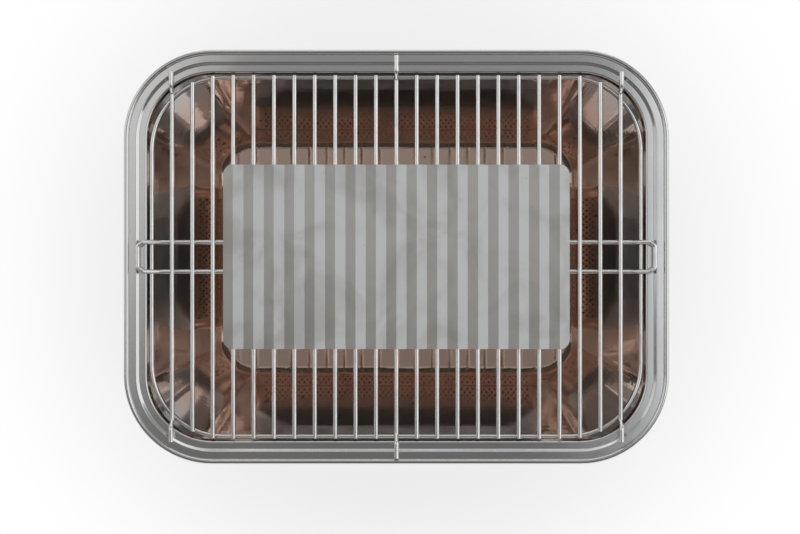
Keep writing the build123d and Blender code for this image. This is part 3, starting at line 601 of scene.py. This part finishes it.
def pale_floor():
    """A level floor, white to the camera and in the steel, with the grill's real soft shadow and
    a painted shade round the grill where its white share falls.
    """
    deselect_all()
    bpy.ops.mesh.primitive_plane_add(size=floor_size, location=(0.0, 0.0, 0.0))
    floor = bpy.context.object
    floor.name = "pale_floor"
    material, tree, shader, place = new_material("Pale floor")
    shader.inputs["Base Color"].default_value = (0.9, 0.9, 0.9, 1.0)
    shader.inputs["Roughness"].default_value = 0.7
    shader.inputs["Specular IOR Level"].default_value = 0.2
    paper = add_node(tree, "ShaderNodeEmission")
    distance = add_node(tree, "ShaderNodeVectorMath", operation="LENGTH")
    tree.links.new(place, distance.inputs[0])
    # Painted shade: the white share falls towards the grill, so the floor there is darker even
    # where no shadow falls.
    fade = add_node(tree, "ShaderNodeMapRange", interpolation_type="SMOOTHSTEP")
    fade.inputs["From Min"].default_value = shadow_reach
    fade.inputs["From Max"].default_value = white_from
    fade.inputs["To Min"].default_value = paper_share_near
    fade.inputs["To Max"].default_value = 1.0
    tree.links.new(distance.outputs["Value"], fade.inputs["Value"])
    mix = add_node(tree, "ShaderNodeMixShader")
    tree.links.new(shown_only(tree, fade.outputs["Result"]), mix.inputs["Fac"])
    tree.links.new(shader.outputs["BSDF"], mix.inputs[1])
    tree.links.new(paper.outputs["Emission"], mix.inputs[2])
    tree.links.new(mix.outputs["Shader"], tree.nodes["Material Output"].inputs["Surface"])
    floor.data.materials.append(material)


def soft_box(name, place, size, power, color):
    """A rectangular soft lamp that faces the grill's rim."""
    deselect_all()
    bpy.ops.object.light_add(type="AREA", location=place)
    lamp = bpy.context.object
    lamp.name = name
    lamp.data.shape = "RECTANGLE"
    lamp.data.size = size[0]
    lamp.data.size_y = size[1]
    lamp.data.energy = power
    lamp.data.color = color
    aim = Vector((0.0, 0.0, pan_high.z)) - Vector(place)
    lamp.rotation_mode = "QUATERNION"
    lamp.rotation_quaternion = aim.to_track_quat("-Z", "Y")


def studio_world():
    """A dim surround, darker to the front, and low all round a white backdrop for the eye."""
    world = bpy.data.worlds.new("Studio surround")
    world.use_nodes = True
    tree = world.node_tree
    place = add_node(tree, "ShaderNodeTexCoord")
    split = add_node(tree, "ShaderNodeSeparateXYZ")
    depth = add_node(tree, "ShaderNodeMapRange", interpolation_type="SMOOTHSTEP")
    depth.inputs["From Min"].default_value = -0.3
    depth.inputs["From Max"].default_value = 0.3
    ramp = add_node(tree, "ShaderNodeValToRGB")
    ramp.color_ramp.elements[0].color = (0.16, 0.155, 0.15, 1.0)
    ramp.color_ramp.elements[1].color = (0.36, 0.36, 0.365, 1.0)
    tree.links.new(place.outputs["Generated"], split.inputs["Vector"])
    tree.links.new(split.outputs["Y"], depth.inputs["Value"])
    tree.links.new(depth.outputs["Result"], ramp.inputs["Fac"])
    backdrop = add_node(tree, "ShaderNodeMapRange", interpolation_type="SMOOTHSTEP")
    backdrop.inputs["From Min"].default_value = backdrop_gone
    backdrop.inputs["From Max"].default_value = backdrop_full
    color = add_node(tree, "ShaderNodeMix", data_type="RGBA")
    color.inputs["B"].default_value = (1.0, 1.0, 1.0, 1.0)
    tree.links.new(split.outputs["Z"], backdrop.inputs["Value"])
    tree.links.new(shown_only(tree, backdrop.outputs["Result"]), color.inputs["Factor"])
    tree.links.new(ramp.outputs["Color"], color.inputs["A"])
    tree.links.new(color.outputs["Result"], tree.nodes["Background"].inputs["Color"])
    bpy.context.scene.world = world


def straight_down_camera():
    """The camera of the photo, with the rim at its scale there."""
    deselect_all()
    place = (camera_x, camera_y, pan_high.z + camera_above_rim)
    bpy.ops.object.camera_add(location=place, rotation=(0.0, 0.0, 0.0))
    camera = bpy.context.object
    camera.name = "photo_camera"
    seen_width = image_width * rim_metres_per_pixel
    camera.data.lens = camera.data.sensor_width * camera_above_rim / seen_width
    bpy.context.scene.camera = camera


pale_floor()
studio_world()
soft_box(
    "left_soft_box", place=(-1.07, 0.3, 1.35), size=(1.1, 1.7), power=3.0, color=(1.0, 0.98, 0.95)
)
soft_box(
    "right_soft_box", place=(1.12, 0.02, 1.31), size=(1.1, 1.72), power=5.6,
    color=(0.95, 0.98, 1.0),
)
soft_box(
    "back_soft_box", place=(0.1, 1.7, 1.0), size=(1.6, 0.5), power=2.5, color=(1.0, 1.0, 1.0)
)
straight_down_camera()
bpy.context.scene.view_settings.view_transform = "Standard"
